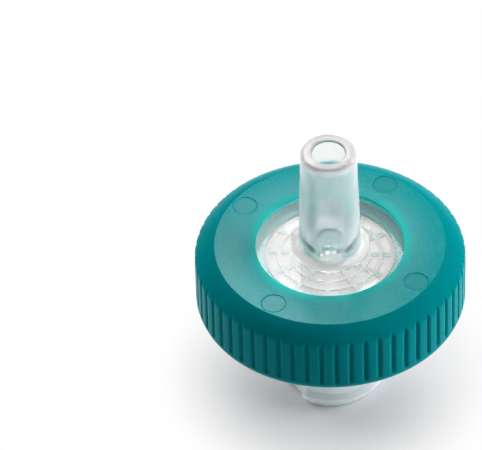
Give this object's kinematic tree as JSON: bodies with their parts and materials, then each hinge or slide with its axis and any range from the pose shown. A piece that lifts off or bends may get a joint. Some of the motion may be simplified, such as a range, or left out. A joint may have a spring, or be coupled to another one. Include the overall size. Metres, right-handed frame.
{
  "type": "syringe filter",
  "caption": "Small round inline syringe filter with a ribbed teal grip ring, clear windows, a white membrane, a tapered outlet spout and a lugged inlet socket.",
  "frame": {"origin": "centre of the inlet mouth's end face, which the filter stands on", "axes": "+Z along the flow axis, from the inlet mouth to the outlet spout's tip"},
  "size_m": [0.019, 0.019, 0.0216],
  "materials": {
    "clear_housing": "natural translucent, smooth",
    "teal_ring": "satin, moulded",
    "membrane": "matte, microporous"
  },
  "bodies": {
    "root": {"inlet_housing": "clear_housing", "outlet_housing": "clear_housing", "membrane": "membrane", "grip_ring": "teal_ring"}
  },
  "joints": []
}
